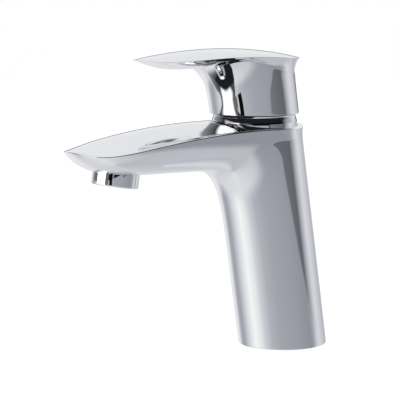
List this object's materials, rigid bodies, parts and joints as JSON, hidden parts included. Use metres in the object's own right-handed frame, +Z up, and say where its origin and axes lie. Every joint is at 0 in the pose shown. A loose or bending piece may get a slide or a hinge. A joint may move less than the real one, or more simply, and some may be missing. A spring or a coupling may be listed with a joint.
{
  "type": "basin mixer faucet",
  "caption": "Single-lever bathroom basin mixer: leaning round column, leaf-shaped crowned spout with tilted aerator and a leaf-shaped lever that turns and lifts.",
  "frame": {"origin": "centre of the column's base circle, on the deck it stands on", "axes": "+Z up, the spout points along -Y, X = 0 is the plane of symmetry"},
  "size_m": [0.0614, 0.158, 0.1671],
  "materials": {
    "chrome": "polished chrome plate on brass",
    "rubber": "matt",
    "ceramic": "lapped",
    "white_plastic": "moulded",
    "grey_plastic": "moulded",
    "brass": "machined",
    "steel": "plain"
  },
  "bodies": {
    "body": {"body_casting": "chrome", "base_gasket": "rubber", "cartridge_base": "white_plastic", "port_seals": "rubber", "fixed_ceramic_disc": "ceramic", "cartridge_housing": "white_plastic", "friction_washer": "grey_plastic", "cartridge_nut": "brass", "temperature_limiter": "grey_plastic", "cartridge_collar": "chrome", "collar_seal": "rubber", "aerator_housing": "chrome", "aerator_outlet_grid": "grey_plastic", "aerator_insert": "grey_plastic", "aerator_screen": "steel", "aerator_flow_regulator": "grey_plastic", "aerator_seal": "rubber"},
    "swivel": {"stem_guide": "white_plastic", "pivot_pin": "steel"},
    "lever": {"cartridge_stem": "brass", "handle": "chrome", "handle_set_screw": "steel", "handle_plug": "chrome"},
    "disc": {"disc_carrier": "white_plastic", "moving_ceramic_disc": "ceramic"}
  },
  "joints": [
    {"name": "temperature_turn", "type": "hinge", "parent": "body", "child": "swivel", "pos_m": [0, -0.0186, 0.121], "axis": [0, 0, 1], "range_deg": [-45, 45]},
    {"name": "flow_lift", "type": "hinge", "parent": "swivel", "child": "lever", "pos_m": [0, -0.0186, 0.121], "axis": [-1, 0, 0], "range_deg": [0, 12]},
    {"name": "disc_slide", "type": "slide", "parent": "swivel", "child": "disc", "axis": [0, -1, 0], "range_m": [0, 0.0026]}
  ],
  "couplings": [
    {"joint": "disc_slide", "follows": "flow_lift", "m_per_rad": 0.0115}
  ]
}
